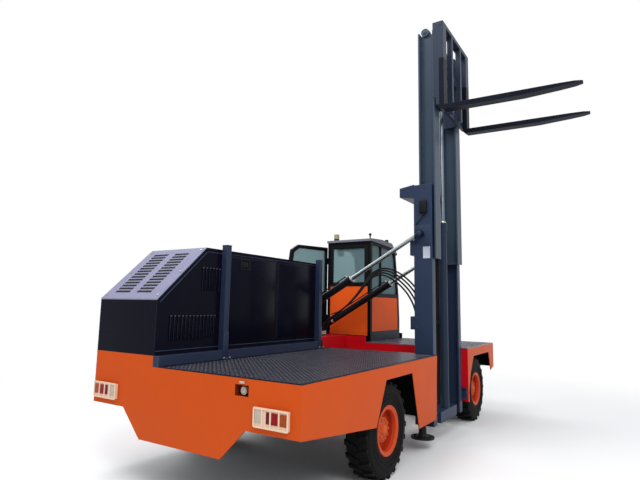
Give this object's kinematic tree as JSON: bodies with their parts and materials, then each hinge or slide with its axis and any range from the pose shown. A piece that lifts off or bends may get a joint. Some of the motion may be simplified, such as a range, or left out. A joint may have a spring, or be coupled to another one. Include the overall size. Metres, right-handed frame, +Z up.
{
  "type": "side loader forklift",
  "caption": "Side loading forklift truck with an engine house and cab on its left side, load decks on its right and a reaching mast with forks in a well between them.",
  "frame": {"origin": "middle of the truck's overall box, on the floor", "axes": "+X forward along the truck, +Y to its left (away from the forks), +Z up"},
  "size_m": [5.21, 4.0346, 4.9665],
  "materials": {
    "orange_paint": "gloss",
    "slate_paint": "satin",
    "black_paint": "satin",
    "grille_grey": "matt",
    "rim_orange": "gloss",
    "engine_iron": "rough",
    "tyre_rubber": "matt",
    "hose_rubber": "matt",
    "rod_chrome": "polished",
    "chain_steel": "oiled",
    "window_glass": "clear",
    "roof_grey": "matt",
    "seat_vinyl": "matt",
    "lamp_cream": "satin"
  },
  "bodies": {
    "chassis": {"main_frame": "black_paint", "rear_body": "orange_paint", "rear_deck": "slate_paint", "front_body": "orange_paint", "front_deck": "slate_paint", "kerb": "slate_paint", "hood": "black_paint", "hood_grille": "grille_grey", "engine": "engine_iron", "cab_frame": "black_paint", "cab_panels": "orange_paint", "cab_roof": "roof_grey", "cab_glass": "window_glass", "seat": "seat_vinyl", "steering_wheel": "black_paint", "lamps": "lamp_cream", "rear_axle": "black_paint", "front_axle": "black_paint", "jack_housing": "black_paint", "well_rails": "slate_paint", "hose_1": "hose_rubber", "hose_2": "hose_rubber", "hose_3": "hose_rubber", "hose_4": "hose_rubber"},
    "cab_door": {"cab_door": "black_paint", "door_glass": "window_glass"},
    "knuckle_left": {"knuckle_left": "black_paint"},
    "knuckle_right": {"knuckle_right": "black_paint"},
    "jack": {"jack_leg": "black_paint"},
    "reach_carriage": {"reach_carriage": "slate_paint"},
    "outer_mast": {"outer_mast": "slate_paint", "mast_pipes": "black_paint", "lift_barrel": "slate_paint"},
    "inner_mast": {"inner_mast": "slate_paint", "lift_rod": "rod_chrome", "lift_chains": "chain_steel"},
    "fork_carriage": {"fork_carriage": "slate_paint", "forks": "slate_paint"},
    "wheel_rear_left": {"tyre_rear_left": "tyre_rubber", "rim_rear_left": "rim_orange"},
    "wheel_rear_right": {"tyre_rear_right": "tyre_rubber", "rim_rear_right": "rim_orange"},
    "wheel_front_left": {"tyre_front_left": "tyre_rubber", "rim_front_left": "rim_orange"},
    "wheel_front_right": {"tyre_front_right": "tyre_rubber", "rim_front_right": "rim_orange"},
    "stay_barrel_near": {"stay_barrel_near": "black_paint"},
    "stay_rod_near": {"stay_rod_near": "rod_chrome"},
    "stay_barrel_far": {"stay_barrel_far": "black_paint"},
    "stay_rod_far": {"stay_rod_far": "rod_chrome"}
  },
  "joints": [
    {"name": "spin_rear_left", "type": "hinge", "parent": "chassis", "child": "wheel_rear_left", "pos_m": [-1.15, 1.63521, 0.415], "axis": [0, 1, 0], "continuous": true},
    {"name": "spin_rear_right", "type": "hinge", "parent": "chassis", "child": "wheel_rear_right", "pos_m": [-1.15, -0.31979, 0.415], "axis": [0, 1, 0], "continuous": true},
    {"name": "spin_front_left", "type": "hinge", "parent": "knuckle_left", "child": "wheel_front_left", "pos_m": [1.7, 1.63521, 0.415], "axis": [0, 1, 0], "continuous": true},
    {"name": "spin_front_right", "type": "hinge", "parent": "knuckle_right", "child": "wheel_front_right", "pos_m": [1.7, -0.31979, 0.415], "axis": [0, 1, 0], "continuous": true},
    {"name": "steer_left", "type": "hinge", "parent": "chassis", "child": "knuckle_left", "pos_m": [1.7, 1.58271, 0.415], "axis": [0, 0, 1], "range_deg": [-30, 30]},
    {"name": "steer_right", "type": "hinge", "parent": "chassis", "child": "knuckle_right", "pos_m": [1.7, -0.26729, 0.415], "axis": [0, 0, 1], "range_deg": [-30, 30]},
    {"name": "mast_reach", "type": "slide", "parent": "chassis", "child": "reach_carriage", "axis": [0, 1, 0], "range_m": [0, 1.3], "deforming": ["hose_1", "hose_2", "hose_3", "hose_4"]},
    {"name": "mast_tilt", "type": "hinge", "parent": "reach_carriage", "child": "outer_mast", "pos_m": [0.637, -0.08229, 0.45], "axis": [1, 0, 0], "range_deg": [-3, 3]},
    {"name": "mast_lift", "type": "slide", "parent": "outer_mast", "child": "inner_mast", "axis": [0, 0, 1], "range_m": [-1.85, 0.15], "deforming": ["lift_chains"]},
    {"name": "fork_lift", "type": "slide", "parent": "inner_mast", "child": "fork_carriage", "axis": [0, 0, 1], "range_m": [-1.85, 0.15]},
    {"name": "stay_swing_near", "type": "hinge", "parent": "chassis", "child": "stay_barrel_near", "pos_m": [0.0577, 1.70771, 1.21], "axis": [-1, 0, 0], "range_deg": [0, 29.27]},
    {"name": "stay_stroke_near", "type": "slide", "parent": "stay_barrel_near", "child": "stay_rod_near", "axis": [0, 0.8647, -0.5022], "range_m": [0, 0.95394]},
    {"name": "stay_swing_far", "type": "hinge", "parent": "chassis", "child": "stay_barrel_far", "pos_m": [1.2163, 1.70771, 1.21], "axis": [-1, 0, 0], "range_deg": [0, 29.27]},
    {"name": "stay_stroke_far", "type": "slide", "parent": "stay_barrel_far", "child": "stay_rod_far", "axis": [0, 0.8647, -0.5022], "range_m": [0, 0.95394]},
    {"name": "jack_drop", "type": "slide", "parent": "chassis", "child": "jack", "axis": [0, 0, -1], "range_m": [0, 0.1]},
    {"name": "door_swing", "type": "hinge", "parent": "chassis", "child": "cab_door", "pos_m": [1.425, 1.79671, 1.7], "axis": [0, 0, 1], "range_deg": [-170, 0]}
  ],
  "couplings": [
    {"joint": "steer_right", "follows": "steer_left", "ratio": 1},
    {"joint": "fork_lift", "follows": "mast_lift", "ratio": 1},
    {"joint": "stay_swing_near", "follows": "mast_reach", "rad_per_m": 0.39277},
    {"joint": "stay_stroke_near", "follows": "mast_reach", "ratio": 0.73364},
    {"joint": "stay_swing_far", "follows": "mast_reach", "rad_per_m": 0.39277},
    {"joint": "stay_stroke_far", "follows": "mast_reach", "ratio": 0.73364}
  ]
}
